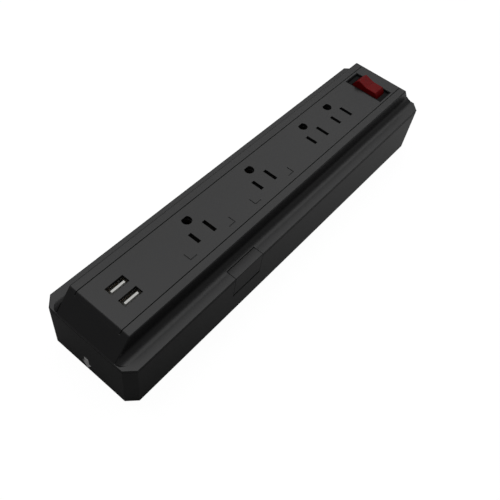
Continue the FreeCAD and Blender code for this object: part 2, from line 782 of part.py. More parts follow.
def bus_bar(label, line, clip_line, offset, gap):
    """A punched brass strip under the socket blocks, with a two-leaf clip at each outlet."""
    start = "(%s - bus_run_out)" % OUTLETS[0]
    pieces = [box(label + "_strip", start, "%s - bus_wide/2" % line, BUS_LOW,
                  "%s + 2*bus_run_out - %s" % (OUTLETS[3], OUTLETS[0]), "bus_wide", "bus_thick - 0.05")]
    for number, along in enumerate(OUTLETS, 1):
        where = "(%s %s)" % (along, offset)
        for side in ("-", "+"):
            if side == "-":
                low = "%s - %s/2 - leaf_thick" % (where, gap)
            else:
                low = "%s + %s/2" % (where, gap)
            end = "ab"[side == "+"]
            pieces.append(box("%s_leaf_%d%s" % (label, number, end), low, "%s - clip_wide/2" % clip_line,
                              BUS_LOW, "leaf_thick", "clip_wide", "clip_tall"))
        pieces.append(slab("%s_foot_%d" % (label, number), where, "(%s + %s)/2" % (line, clip_line), BUS_LOW,
                           "%s + 2*leaf_thick" % gap, "clip_wide + abs(%s - %s)" % (line, clip_line),
                           "bus_thick - 0.05"))
    finish(label, fuse(label + "_fused", pieces))


def carrier():
    plate = box("plate_blank", "plate_front", "-plate_half", PLATE_LOW, "plate_back - plate_front",
                "2*plate_half", "plate_thick - 0.05")
    holes = []
    screws = []
    for number, (along, across) in enumerate(post_places()):
        holes.append(rod("plate_bore_%d" % number, along, across, PLATE_LOW + " - 1",
                         "small_screw + 0.2", "plate_thick + 2"))
        shank = rod("small_shank_%d" % number, along, across, PLATE_LOW + " - 0.3",
                    "small_screw", "small_length")
        head = rod("small_head_%d" % number, along, across, PLATE_LOW + " - small_head_tall",
                   "small_head", "small_head_tall")
        screws.append(fuse("small_screw_%d" % number, [shank, head]))
    finish("bus_plate", cut("bus_plate_body", plate, holes))
    finish("plate_screws", group("plate_screw_set", screws))


# Rocker switch
def switch():
    tray = slab("bezel_block", "switch_at", "0", CROWN + " - bezel_sunk - bezel_skin",
                "bezel_width - 2*bezel_fit", "bezel_length - 2*bezel_fit", "bezel_sunk + bezel_skin - 0.1")
    well = slab("bezel_well", "switch_at", "0", CROWN + " - bezel_sunk",
                "bezel_width - 2*bezel_fit - 2*bezel_rim", "bezel_length - 2*bezel_fit - 2*bezel_rim", "5")
    gate = slab("bezel_gate", "switch_at", "0", CROWN + " - 6", "rocker_width + 2*rocker_gap",
                "2*(rocker_radius + rocker_gap)", "9")
    finish("switch_bezel", cut("switch_bezel_body", tray, [well, gate]))

    top = CROWN + " - bezel_sunk - bezel_skin - 0.02"
    shell = slab("switch_block", "switch_at", "0", "%s - switch_deep" % top,
                 "rocker_width + 2*rocker_gap + 2*switch_skin",
                 "2*(rocker_radius + rocker_gap + switch_skin)", "switch_deep")
    inside = slab("switch_inside", "switch_at", "0", "%s - switch_deep + switch_floor" % top,
                  "rocker_width + 2*rocker_gap", "2*(rocker_radius + rocker_gap)", "switch_deep + 3")
    bore = rod("axle_bore", "switch_at - 10", "0", PIVOT, "axle_radius + axle_play", "20", "X")
    slits = []
    blades = []
    for number, across in enumerate(("-6.4", "0", "6.4")):
        slits.append(slab("terminal_slit_%d" % number, "switch_at", across, "%s - switch_deep - 1" % top,
                          "terminal_wide + 0.1", "terminal_thick + 0.1", "4"))
        blades.append(slab("terminal_%d" % number, "switch_at", across,
                           "%s - switch_deep - terminal_long + terminal_tip" % top,
                           "terminal_wide", "terminal_thick", "terminal_long"))
    finish("switch_housing", cut("switch_housing_body", shell, [inside, bore] + slits))
    finish("switch_terminals", group("switch_terminal_set", blades))
    lamp_line = "%s - switch_deep + terminal_tip + lamp_radius + 0.02" % top
    lamp = rod("lamp_glass", "switch_at", "-lamp_length/2", lamp_line, "lamp_radius", "lamp_length", "Y")
    finish("neon_lamp", lamp)

    half = "(rocker_radius + 1)"
    wedge = prism("rocker_wedge", "YZ", [
        ("-keel_half", "-rocker_keel"), ("keel_half", "-rocker_keel"),
        (half, "0"), (half, "pivot_sunk + rocker_proud + %s*tan(rocker_tilt)" % half),
        ("0", "pivot_sunk + rocker_proud"),
        ("-" + half, "pivot_sunk + rocker_proud + %s*tan(rocker_tilt)" % half), ("-" + half, "0"),
    ], "-rocker_width/2", "rocker_width")
    drum = rod("rocker_drum", "-rocker_width/2", "0", "0", "rocker_radius", "rocker_width", "X")
    blank = common("rocker_blank", wedge, drum)

    def rim_edges(edge):
        return edge.CenterOfMass.z > given["pivot_sunk"] + given["rocker_proud"] + 0.2

    rounded = softened("rocker_rounded", blank, given["rocker_round"], rim_edges)
    axle = rod("rocker_axle", "-rocker_width/2 - axle_reach", "0", "0", "axle_radius",
               "rocker_width + 2*axle_reach", "X")
    cap = fuse("rocker_body", [rounded, axle])
    tilted = FreeCAD.Rotation(FreeCAD.Vector(1, 0, 0), given["rocker_tilt"])
    cap.Placement = FreeCAD.Placement(FreeCAD.Vector(), tilted)
    place(cap, "switch_at", "0", PIVOT)
    bind(cap, ".Placement.Rotation.Angle", "rocker_tilt")
    finish("rocker", cap)


# USB sockets and their board
def usb():
    contacts = []
    top = PANEL_UNDER + " - 0.05"
    for number, across in enumerate(USB_LINES, 1):
        can = slab("usb_can_%d" % number, "usb_at", across, "%s - usb_deep" % top,
                   "usb_wide + 2*usb_skin", "usb_tall + 2*usb_skin", "usb_deep")
        bore = slab("usb_bore_%d" % number, "usb_at", across, "%s - usb_deep + 1" % top,
                    "usb_wide", "usb_tall", "usb_deep")
        finish("usb_shell_%d" % number, cut("usb_shell_body_%d" % number, can, [bore]))
        line = "(%s + tongue_off)" % across
        seat = "(%s - usb_deep + 1.02)" % top
        base = slab("usb_base_%d" % number, "usb_at", across, seat, "usb_wide - 0.1", "usb_tall - 0.1", "1.8")
        blade = slab("usb_blade_%d" % number, "usb_at", line, seat,
                     "tongue_wide", "tongue_thick", "%s - tongue_sunk - %s" % (CROWN, seat))
        finish("usb_tongue_%d" % number, fuse("usb_tongue_body_%d" % number, [base, blade]))
        for pin in range(4):
            contacts.append(slab("usb_pin_%d_%d" % (number, pin), "usb_at + %.1f*pin_pitch" % (pin - 1.5),
                                 line + " + tongue_thick/2 + 0.12", "%s - pin_long + 0.2" % top,
                                 "pin_wide", "pin_thick", "pin_long"))
    finish("usb_contacts", group("usb_contact_set", contacts))
    board_top = BOARD_TOP
    board = slab("usb_board_blank", BOARD_MIDDLE, "0", "%s - board_thick" % board_top,
                 "usb_board_long", "2*(post_line + small_head - 0.5)", "board_thick")
    bores = []
    screws = []
    for number, side in enumerate(("-", "+")):
        bores.append(rod("board_bore_%d" % number, BOARD_SCREW, "0 %s post_line" % side,
                         "%s - 4" % board_top, "small_screw + 0.15", "8"))
    finish("usb_board", cut("usb_board_body", board, bores))
    for number, side in enumerate(("-", "+")):
        shank = rod("board_shank_%d" % number, BOARD_SCREW, "0 %s post_line" % side,
                    "%s - board_thick - 0.3" % board_top, "small_screw", "small_length")
        head = rod("board_head_%d" % number, BOARD_SCREW, "0 %s post_line" % side,
                   "%s - board_thick - small_head_tall" % board_top, "small_head", "small_head_tall")
        screws.append(fuse("board_screw_%d" % number, [shank, head]))
    finish("board_screws", group("board_screw_set", screws))
    under = "(%s - board_thick - 0.02)" % board_top
    middle = "usb_at - core_off"
    core_low = "%s - core_tall" % under
    core = slab("transformer_core", middle, "core_line", core_low, "core_long", "core_wide", "core_tall")
    opening = slab("transformer_window", middle, "core_line", core_low + " + core_bar",
                   "winding_long", "core_window", "core_tall - 2*core_bar")
    winding = slab("transformer_winding", middle, "core_line", core_low + " + core_bar + winding_gap",
                   "winding_long", "core_window - 2*winding_gap", "core_tall - 2*core_bar - 2*winding_gap")
    finish("usb_transformer_core", cut("usb_transformer_core_body", core, [opening]))

    def long_way(edge):
        return edge.BoundBox.YLength > given["core_window"]/2

    coil = softened("usb_transformer_coil_body", winding, given["winding_round"], long_way)
    finish("usb_transformer_coil", coil)
    cans = []
    for number in range(2):
        along = "usb_at - can_first + %d*can_pitch" % number
        can = rod("capacitor_can_%d" % number, along, "can_line", "%s - can_tall" % under,
                  "can_radius", "can_tall")
        cans.append(softened("capacitor_%d" % number, can, given["trim_round"], is_level))
    finish("usb_capacitors", group("usb_capacitor_set", cans))


# Release tab with its springs
def tab():
    front = "(-case_width/2)"
    skin = box("tab_face", "tab_at - tab_width/2", front, "tab_foot_level", "tab_width", "tab_skin",
               "%s - tab_foot_level" % DECK)
    roof = box("tab_roof", "tab_at - tab_width/2", front, DECK + " - tab_skin", "tab_width",
               "case_width/2 - tab_inner", "tab_skin")
    base = fuse("tab_form", [skin, roof])

    def outer_edges(edge):
        center = edge.BoundBox.Center
        along_x = edge.BoundBox.XLength > given["tab_width"] - 1
        top_front = abs(center.z - deck_z) < 0.01 and abs(center.y + given["case_width"]/2) < 0.01
        return along_x and top_front

    base = softened("tab_rounded", base, given["deck_round"], outer_edges)
    inner = "(-%s + joint_gap)" % INNER_HALF
    flange = box("tab_flange", "tab_at - tab_width/2 - flange_side", inner, "flange_low",
                 "tab_width + 2*flange_side", "flange_skin",
                 "%s - tongue_depth - joint_gap - flange_low" % SEAM)
    bridge = box("tab_bridge", "tab_at - tab_width/2", "%s + tab_skin - 0.2" % front, "flange_low",
                 "tab_width", "case_wall + joint_gap + flange_skin - tab_skin + 0.2",
                 "%s - tongue_depth - joint_gap - flange_low" % SEAM)
    pad = box("tab_pad", "tab_at - tab_width/2", inner, "flange_low", "tab_width", "pad_deep", "pad_tall")
    foot_low = "(lever_level + lever_thick/2 + brake_gap)"
    reach = "(%s - %s)" % ("-lever_line + lever_wide/2", inner)
    arm = box("tab_arm", "tab_at - arm_half", inner, foot_low + " + arm_lift", "2*arm_half", reach,
              "arm_tall")
    root = box("tab_arm_root", "tab_at - arm_half", inner, "flange_low", "2*arm_half", "flange_skin",
               "%s + arm_lift + arm_tall - flange_low" % foot_low)
    nib = box("tab_nib", "tab_at - nib_half", "-lever_line - lever_wide/2", foot_low,
              "2*nib_half", "lever_wide", "nib_tall")
    finish("press_tab", fuse("press_tab_body", [base, flange, bridge, pad, arm, root, nib]))

    springs = []
    low = given["spring_seat"] + given["spring_wire"]/2
    high = given["flange_low"] - given["spring_wire"]/2 - 0.05
    across = -given["case_width"]/2 + given["case_wall"] + given["joint_gap"] + given["pad_deep"]/2 + 0.3
    for side in (-1, 1):
        pitch = (high - low)/given["spring_turns"]
        path = Part.makeHelix(pitch, high - low, given["spring_radius"])
        start = FreeCAD.Vector(given["spring_radius"], 0, 0)
        ring = Part.Wire(Part.makeCircle(given["spring_wire"]/2, start, FreeCAD.Vector(0, 1, 0)))
        coil = Part.Wire(path).makePipeShell([ring], True, True)
        coil.translate(FreeCAD.Vector(tab_x + side*given["spring_spread"], across, low))
        springs.append(coil)
    item = doc.addObject("Part::Feature", "tab_spring_set")
    item.Shape = Part.makeCompound(springs)
    finish("tab_springs", item)


# Brake lever, which the tab tips off the reel's flange
def brake():
    bar = box("lever_bar", "lever_pivot - lever_long", "-lever_line - lever_wide/2",
              "lever_level - lever_thick/2", "lever_long + press_arm + 3", "lever_wide", "lever_thick")
    hub = rod("lever_boss", "lever_pivot", "-lever_line - lever_wide/2", "lever_level",
              "lever_hub", "lever_wide", "Y")
    shoe = box("lever_shoe", "lever_pivot - lever_long", "-lever_line - lever_wide/2",
               REEL_TOP + " + brake_gap", "brake_pad", "lever_wide",
               "lever_level - %s - brake_gap" % REEL_TOP)
    bore = rod("lever_hole", "lever_pivot", "-lever_line - 5", "lever_level",
               "pin_radius + axle_play", "10", "Y")
    finish("brake_lever", cut("brake_lever_body", fuse("brake_lever_form", [bar, hub, shoe]), [bore]))
    span = "(lever_wide/2 + joint_gap + ear_skin)"
    finish("brake_pin", rod("brake_pin_body", "lever_pivot", "-lever_line - %s" % span, "lever_level",
                            "pin_radius", "2*%s" % span, "Y"))


# Cord reel with its spindle, return spring and slip rings
def reel():
    solids = [
        rod("reel_low_flange", "reel_at", "0", "reel_low", "reel_radius", "reel_flange"),
        rod("reel_hub", "reel_at", "0", "reel_low", "hub_radius", "reel_tall"),
        rod("reel_top_flange", "reel_at", "0", REEL_TOP + " - reel_flange", "reel_radius", "reel_flange"),
    ]
    holes = [
        rod("reel_bore", "reel_at", "0", "reel_low - 1", "spindle_radius + spindle_play", "reel_tall + 2"),
        rod("reel_cup", "reel_at", "0", "reel_low - 1", "cup_radius", "cup_deep + 1"),
    ]
    for turn in range(given["reel_windows"]):
        angle = 2*math.pi*turn/given["reel_windows"]
        away = "(hub_radius + reel_radius)/2"
        holes.append(rod("reel_window_%d" % turn, "reel_at + %.6f*%s" % (math.cos(angle), away),
                         "%.6f*%s" % (math.sin(angle), away), REEL_TOP + " - reel_flange - 1",
                         "(reel_radius - hub_radius - window_web)/2", "reel_flange + 2"))
    finish("cord_reel", cut("cord_reel_body", fuse("cord_reel_form", solids), holes))
    rings = []
    for number in range(3):
        inner = "(ring_first + %d*ring_pitch)" % number
        outer = rod("ring_outer_%d" % number, "reel_at", "0", REEL_TOP, inner + " + ring_wide", "ring_thick")
        hole = rod("ring_inner_%d" % number, "reel_at", "0", REEL_TOP + " - 1", inner, "ring_thick + 2")
        rings.append(cut("ring_%d" % number, outer, [hole]))
    finish("slip_rings", group("slip_ring_set", rings))
    block_low = "(%s - brush_block_tall)" % PLATE_LOW
    block = box("brush_block_blank", "reel_at + ring_first - 1", "-brush_block_wide/2", block_low,
                "2*ring_pitch + ring_wide + 2", "brush_block_wide", "brush_block_tall - 0.02")
    seats = []
    brushes = []
    for number in range(3):
        away = "reel_at + ring_first + ring_wide/2 + %d*ring_pitch" % number
        low = "(%s + ring_thick + brush_gap)" % REEL_TOP
        seats.append(rod("brush_seat_%d" % number, away, "0", block_low + " - 1", "brush_radius + 0.02",
                         "brush_block_tall"))
        brushes.append(rod("brush_%d" % number, away, "0", low, "brush_radius",
                           "%s + 0.9 - %s" % (block_low, low)))
    finish("brush_block", cut("brush_block_body", block, seats))
    finish("ring_brushes", group("ring_brush_set", brushes))
    stem = rod("spindle_stem", "reel_at", "0", UNDERSIDE + " + 0.8", "spindle_radius",
               "%s + ring_thick + 1.4 - (foot_proud + 0.8)" % REEL_TOP)
    finish("reel_spindle", stem)
    washer = rod("clip_outer", "reel_at", "0", REEL_TOP + " + joint_gap", "clip_radius", "clip_thick")
    eye = rod("clip_inner", "reel_at", "0", REEL_TOP, "spindle_radius + 0.02", "3")
    gap = box("clip_gap", "reel_at", "-1.2", REEL_TOP, "8", "2.4", "3")
    finish("spindle_clip", cut("spindle_clip_body", washer, [eye, gap]))
    finish("reel_spring", spiral_spring())


def spiral_spring():
    """A flat strip wound as half turns whose radius grows by half a pitch each time."""
    step = given["coil_pitch"]/2
    radius = given["spindle_radius"] + 0.6
    centre = 0.0
    edges = []
    upper = True
    while radius + abs(centre) + given["coil_thick"] < given["cup_radius"] - 0.6:
        sign = 1 if upper else -1
        start = FreeCAD.Vector(centre + sign*radius, 0, 0)
        middle = FreeCAD.Vector(centre, sign*radius, 0)
        stop = FreeCAD.Vector(centre - sign*radius, 0, 0)
        edges.append(Part.Arc(start, middle, stop).toShape())
        centre = centre - sign*step
        radius = radius + step
        upper = not upper
    path = Part.Wire(edges)
    half = given["coil_thick"]/2
    first = edges[0].Vertexes[0].Point
    low = given["reel_low"] + 0.8
    inner = first.x - half
    outer = first.x + half
    tall = given["coil_tall"]
    strip = Part.makePolygon([
        FreeCAD.Vector(inner, 0, 0), FreeCAD.Vector(outer, 0, 0), FreeCAD.Vector(outer, 0, tall),
        FreeCAD.Vector(inner, 0, tall), FreeCAD.Vector(inner, 0, 0)])
    shape = path.makePipeShell([strip], True, True)
    shape.translate(FreeCAD.Vector(reel_x, 0, low))
    item = doc.addObject("Part::Feature", "reel_spring_body")
    item.Shape = shape
    return item


# Rim of the cord mouth in the floor, feet and case screws
def trim():
    rim = slab("mouth_rim_block", "mouth_at", "0", UNDERSIDE + " + 0.2",
               "mouth_long - 0.1", "mouth_wide - 0.1", "floor_skin + 1.4")
    flange = slab("mouth_flange", "mouth_at", "0", FLOOR + " + 0.02", "mouth_long + 2*mouth_flange",
                  "mouth_wide + 2*mouth_flange", "1.2")
    hole = slab("mouth_inside", "mouth_at", "0", "-2",
                "mouth_long - 2*mouth_rim", "mouth_wide - 2*mouth_rim", "12")

    def mouth_edges(edge):
        return near(level_of(edge), under_z + 0.2)

    def sole_edges(edge):
        return near(level_of(edge), 0.0)

    ring = cut("mouth_ring_form", fuse("mouth_ring_blank", [rim, flange]), [hole])
    finish("mouth_ring", softened("mouth_ring_body", ring, given["trim_round"], mouth_edges))
    feet = []
    for number, (along, across) in enumerate(foot_places()):
        foot = rod("foot_%d" % number, along, across, "0", "foot_radius", "foot_proud + foot_sunk - 0.02")
        feet.append(softened("foot_round_%d" % number, foot, given["trim_round"], sole_edges))
    finish("rubber_feet", group("rubber_foot_set", feet))
    screws = []
    for number, (along, across) in enumerate(boss_places()):
        head_low = "(%s + head_sunk)" % UNDERSIDE
        head = rod("case_head_%d" % number, along, across, head_low, "head_radius", "head_height - 0.02")
        shank = rod("case_shank_%d" % number, along, across, head_low + " + 1",
                    "screw_radius", "screw_length")
        drive = slab("case_drive_%d" % number, along, across, head_low + " - 1",
                     "drive_long", "drive_wide", "drive_deep + 1")
        cross = slab("case_cross_%d" % number, along, across, head_low + " - 1",
                     "drive_wide", "drive_long", "drive_deep + 1")
        screws.append(cut("case_screw_%d" % number, fuse("case_screw_form_%d" % number, [head, shank]),
                          [drive, cross]))
    finish("case_screws", group("case_screw_set", screws))


# Filter board on the floor of the case
def filter_board():
    low = "(%s + filter_post + 0.02)" % FLOOR
    top = "(%s + board_thick)" % low
    board = slab("filter_blank", "filter_at", "0", low, "filter_long", "filter_wide", "board_thick")
    bores = []
    screws = []
    for number, (along, across) in enumerate(filter_posts()):
        bores.append(rod("filter_hole_%d" % number, along, across, low + " - 1", "small_screw + 0.2",
                         "board_thick + 2"))
        shank = rod("filter_shank_%d" % number, along, across, top + " - filter_screw_long + 0.3",
                    "small_screw", "filter_screw_long")
        head = rod("filter_head_%d" % number, along, across, top + " + 0.02", "small_head", "small_head_tall")
        screws.append(fuse("filter_screw_%d" % number, [shank, head]))
    finish("filter_board", cut("filter_board_body", board, bores))
    finish("filter_screws", group("filter_screw_set", screws))
    seat = top + " + 0.02"
    discs = []
    for number in range(3):
        middle = "(filter_at - filter_long/2 + disc_from_end + %d*disc_pitch)" % number
        pieces = [rod("disc_%d" % number, middle, "disc_line", "%s + disc_radius + disc_lift" % top,
                      "disc_radius", "disc_thick", "Y")]
        for leg, side in (("a", "-"), ("b", "+")):
            pieces.append(slab("disc_leg_%s_%d" % (leg, number), "%s %s lead_spread/2" % (middle, side),
                               "disc_line + disc_thick/2", seat, "lead_thick", "lead_thick", "disc_radius"))
        discs.append(fuse("varistor_%d" % number, pieces))
    finish("varistors", group("varistor_set", discs))
    near_end = "(filter_at - filter_long/2 + fuse_from_end)"
    far_end = "(filter_at + filter_long/2 - coils_from_end)"
    tube = rod("fuse_tube", near_end, "fuse_line", seat + " + fuse_radius", "fuse_radius", "fuse_long", "X")
    finish("thermal_fuse", softened("thermal_fuse_body", tube, given["trim_round"], lambda edge: True))
    cap = slab("film_block", far_end, "film_line", seat, "film_long", "film_wide", "film_tall")
    finish("film_capacitor", softened("film_capacitor_body", cap, given["film_round"], is_level))
    outer = rod("choke_outer", far_end, "choke_line", seat, "choke_radius", "choke_tall")
    eye = rod("choke_eye", far_end, "choke_line", top + " - 1", "choke_hole", "choke_tall + 3")
    ring = cut("choke_ring", outer, [eye])
    finish("choke_coil", softened("choke_coil_body", ring, given["choke_round"], is_level))


lower_case()
top_cover()
outlet_panel()
sockets()
bus_bar("hot_bus", "(blade_line - 5.2)", "(blade_line - 2.0)", "- blade_spacing/2", "leaf_gap")
bus_bar("neutral_bus", "(blade_line + 2.6)", "(blade_line + 2.2)", "+ blade_spacing/2", "leaf_gap")
bus_bar("ground_bus", "(blade_line + ground_from_blades)", "(blade_line + ground_from_blades)", "+ 0",
        "ground_leaf_gap")
carrier()
switch()
usb()
tab()
brake()
reel()
trim()
filter_board()
doc.recompute()

# Every feature must have built, and every sub-part must be a sound solid, before anything is written
for item in doc.Objects:
    if "Invalid" in item.State or "Error" in item.State:
        raise RuntimeError("%s did not build" % item.Name)
for item in sub_parts:
    if item.Shape.isNull() or not item.Shape.isValid() or not item.Shape.Solids:
        raise RuntimeError("%s is not a sound solid" % item.Label)
for item in sub_parts:
    item.Shape.exportStep(os.path.join("parts", item.Label + ".step"))
print("%d sub-parts" % len(sub_parts))
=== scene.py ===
"""Looks of a four-outlet power strip with two USB sockets, a lit rocker and a cord reel in its base.

Everything is in metres, in the strip's own frame: +X runs to the switch end, +Z is up and z = 0 is the table.
"""
import math

import bmesh
import bpy
from mathutils import Matrix, Vector


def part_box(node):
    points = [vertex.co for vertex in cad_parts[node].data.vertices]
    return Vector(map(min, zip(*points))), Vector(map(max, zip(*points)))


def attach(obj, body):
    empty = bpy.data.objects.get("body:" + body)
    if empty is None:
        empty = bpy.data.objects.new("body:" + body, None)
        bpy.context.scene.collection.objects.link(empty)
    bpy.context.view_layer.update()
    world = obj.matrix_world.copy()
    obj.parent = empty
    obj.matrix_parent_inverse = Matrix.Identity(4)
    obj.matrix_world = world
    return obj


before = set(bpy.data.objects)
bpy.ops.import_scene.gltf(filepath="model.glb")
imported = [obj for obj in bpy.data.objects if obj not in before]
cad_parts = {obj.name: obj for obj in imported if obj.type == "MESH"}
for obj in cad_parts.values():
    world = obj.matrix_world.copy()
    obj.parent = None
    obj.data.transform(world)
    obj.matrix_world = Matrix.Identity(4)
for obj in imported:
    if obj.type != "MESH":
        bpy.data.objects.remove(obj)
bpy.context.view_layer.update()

MM = 0.001
MOULD_EDGE_MM = 0.22
TRIM_EDGE_MM = 0.12


# Camera, solved from the edges and sockets of the strip
CAMERA_AT = Vector((-236.69, -138.52, 332.38))*MM
CAMERA_AZIMUTH = math.radians(-59.58)
CAMERA_ELEVATION = math.radians(52.881)
CAMERA_ROLL = math.radians(11.173)
CAMERA_LENS = 44.665
SENSOR_WIDTH = 36.0


def make_camera():
    """The camera looks down the strip from beyond its USB end."""
    turn = CAMERA_AZIMUTH
    rise = CAMERA_ELEVATION
    back = Vector((math.sin(turn)*math.cos(rise), -math.cos(turn)*math.cos(rise), math.sin(rise)))
    level = Vector((math.cos(turn), math.sin(turn), 0))
    upright = back.cross(level)
    right = math.cos(CAMERA_ROLL)*level + math.sin(CAMERA_ROLL)*upright
    up = math.cos(CAMERA_ROLL)*upright - math.sin(CAMERA_ROLL)*level
    lens = bpy.data.cameras.new("camera")
    lens.lens = CAMERA_LENS
    lens.sensor_width = SENSOR_WIDTH
    lens.clip_start = 0.01
    lens.clip_end = 100
    camera = bpy.data.objects.new("camera", lens)
    bpy.context.scene.collection.objects.link(camera)
    axes = Matrix((right, up, back)).transposed().to_4x4()
    camera.matrix_world = Matrix.Translation(CAMERA_AT) @ axes
    bpy.context.scene.camera = camera


# Colour and node helpers

def linear(text):
    """An sRGB hex colour such as #1a1a1b as linear red, green, blue and alpha."""
    channels = []
    for start in (1, 3, 5):
        value = int(text[start:start + 2], 16)/255
        channels.append(value/12.92 if value <= 0.04045 else ((value + 0.055)/1.055)**2.4)
    return (*channels, 1.0)


def add(tree, kind, settings=None, inputs=None):
    """Add one node, set its properties, and set or link its sockets."""
    node = tree.nodes.new(kind)
    for name, value in (settings or {}).items():
        setattr(node, name, value)
    for name, value in (inputs or {}).items():
        if isinstance(value, bpy.types.NodeSocket):
            tree.links.new(value, node.inputs[name])
        else:
            node.inputs[name].default_value = value
    return node


def new_material(name):
    """An empty material and its node tree."""
    item = bpy.data.materials.new(name)
    item.use_nodes = True
    item.node_tree.nodes.clear()
    return item, item.node_tree


def ramp(tree, factor, low, high, start=0.0, stop=1.0):
    """Turn a factor into a number between low and high."""
    node = add(tree, "ShaderNodeMapRange", {}, {
        "Value": factor, "From Min": start, "From Max": stop, "To Min": low, "To Max": high})
    return node.outputs["Result"]


def blend_colours(tree, factor, first, second):
    """Mix two sRGB hex colours by a factor."""
    node = add(tree, "ShaderNodeMix", {"data_type": "RGBA"}, {0: factor})
    node.inputs["A"].default_value = linear(first)
    node.inputs["B"].default_value = linear(second)
    return node.outputs["Result"]


def place_of(tree):
    """Object coordinates, which are the strip's own frame in metres."""
    return add(tree, "ShaderNodeTexCoord").outputs["Object"]


def grain(tree, size_mm, detail=2.0, roughness=0.5):
    """Noise whose lumps are about size_mm across."""
    node = add(tree, "ShaderNodeTexNoise", {}, {
        "Vector": place_of(tree), "Scale": 1/(size_mm*MM), "Detail": detail, "Roughness": roughness})
    return node.outputs["Fac"]


def relief(tree, height, depth_mm, edge_mm=0.0):
    """Bump of a real depth, over edges eased by edge_mm."""
    inputs = {"Height": height, "Distance": depth_mm*MM, "Strength": 1.0}
    if edge_mm:
        eased = add(tree, "ShaderNodeBevel", {"samples": 6}, {"Radius": edge_mm*MM})
        inputs["Normal"] = eased.outputs["Normal"]
    return add(tree, "ShaderNodeBump", {}, inputs).outputs["Normal"]


def shade(name, inputs):
    """Finish a material whose principled shader has these sockets. inputs is made by a maker of sockets."""
    item, tree = new_material(name)
    surface = add(tree, "ShaderNodeBsdfPrincipled", {}, inputs(tree))
    add(tree, "ShaderNodeOutputMaterial", {}, {"Surface": surface.outputs["BSDF"]})
    return item


# Materials

def moulded_abs(name, dark, light, matt, gloss, grain_mm, depth_mm):
    """ABS moulded in a spark-eroded tool: a satin black skin with a fine even grain.
    The real grain is about 0.1 mm, and is drawn a little coarser so that it shows."""
    def sockets(tree):
        cloud = grain(tree, 18.0, 3.0)
        pores = grain(tree, grain_mm, 2.0)
        return {
            "Base Color": blend_colours(tree, cloud, dark, light),
            "Roughness": ramp(tree, pores, gloss, matt, 0.3, 0.7),
            "IOR": 1.53,
            "Normal": relief(tree, pores, depth_mm, MOULD_EDGE_MM),
        }
    return shade(name, sockets)


def red_polycarbonate():
    """Red polycarbonate, clear enough that the black switch behind it makes it dark and saturated."""
    def sockets(tree):
        cloud = grain(tree, 3.0, 1.0)
        return {
            "Base Color": blend_colours(tree, cloud, "#660a0d", "#7c0e12"),
            "Roughness": ramp(tree, cloud, 0.24, 0.32),
            "IOR": 1.585,
            "Specular IOR Level": 0.06,
            "Normal": relief(tree, cloud, 0.01, 0.5),
        }
    return shade("red_polycarbonate", sockets)


def white_nylon():
    """White glass-filled nylon, the tongue of a USB socket: matt and slightly mottled."""
    def sockets(tree):
        cloud = grain(tree, 1.2)
        return {
            "Base Color": blend_colours(tree, cloud, "#dcdcd8", "#ecece8"),
            "Roughness": ramp(tree, cloud, 0.45, 0.6),
            "IOR": 1.53,
            "Normal": relief(tree, cloud, 0.01, TRIM_EDGE_MM),
        }
    return shade("white_nylon", sockets)


def white_paint():
    """White pad-printed ink, flat and a little uneven at the scale of the grain beneath."""
    def sockets(tree):
        cloud = grain(tree, 0.5)
        return {
            "Base Color": blend_colours(tree, cloud, "#f4f4f2", "#ffffff"),
            "Roughness": ramp(tree, cloud, 0.5, 0.7),
            "IOR": 1.5,
            "Normal": relief(tree, cloud, 0.01),
        }
    return shade("white_pad_print", sockets)


def metal(name, dark, light, gloss, matt, stretch=(1.0, 1.0, 12.0), scratch_mm=0.4):
    """A rolled, drawn or plated metal with fine lines along one way."""
    def sockets(tree):
        mapping = add(tree, "ShaderNodeMapping", {}, {"Vector": place_of(tree), "Scale": stretch})
        lines = add(tree, "ShaderNodeTexNoise", {}, {
            "Vector": mapping.outputs["Vector"], "Scale": 1/(scratch_mm*MM*12), "Detail": 3.0}).outputs["Fac"]
        return {
            "Base Color": blend_colours(tree, lines, dark, light),
            "Roughness": ramp(tree, lines, gloss, matt, 0.3, 0.7),
            "Metallic": 1.0,
            "Normal": relief(tree, lines, 0.004, 0.08),
        }
    return shade(name, sockets)


def plain_moulding(name, dark, light, roughness, grain_mm=0.4, depth_mm=0.01, ior=1.5):
    """A moulded or coated non-metal with a light mottle."""
    def sockets(tree):
        cloud = grain(tree, grain_mm)
        return {
            "Base Color": blend_colours(tree, cloud, dark, light),
            "Roughness": ramp(tree, cloud, roughness - 0.06, roughness + 0.06),
            "IOR": ior,
            "Normal": relief(tree, cloud, depth_mm, TRIM_EDGE_MM),
        }
    return shade(name, sockets)


def black_nylon():
    """Black glass-filled nylon, the switch's frame: dull, because the glass breaks up its skin."""
    def sockets(tree):
        cloud = grain(tree, 0.4)
        return {
            "Base Color": blend_colours(tree, cloud, "#121213", "#181819"),
            "Roughness": ramp(tree, cloud, 0.55, 0.7),
            "IOR": 1.53,
            "Specular IOR Level": 0.1,
            "Normal": relief(tree, cloud, 0.01, TRIM_EDGE_MM),
        }
    return shade("black_nylon", sockets)


def circuit_board():
    """Glass-fibre board under a green solder mask: the weave shows faintly, about 0.6 mm apart."""
    def sockets(tree):
        weave = add(tree, "ShaderNodeTexWave", {"wave_profile": "SIN"}, {
            "Vector": place_of(tree), "Scale": 1/(0.6*MM*2*math.pi), "Distortion": 0.6}).outputs["Fac"]
        return {
            "Base Color": blend_colours(tree, weave, "#12502e", "#186238"),
            "Roughness": ramp(tree, weave, 0.3, 0.4),
            "IOR": 1.55,
            "Normal": relief(tree, weave, 0.01),
        }
    return shade("green_solder_mask", sockets)


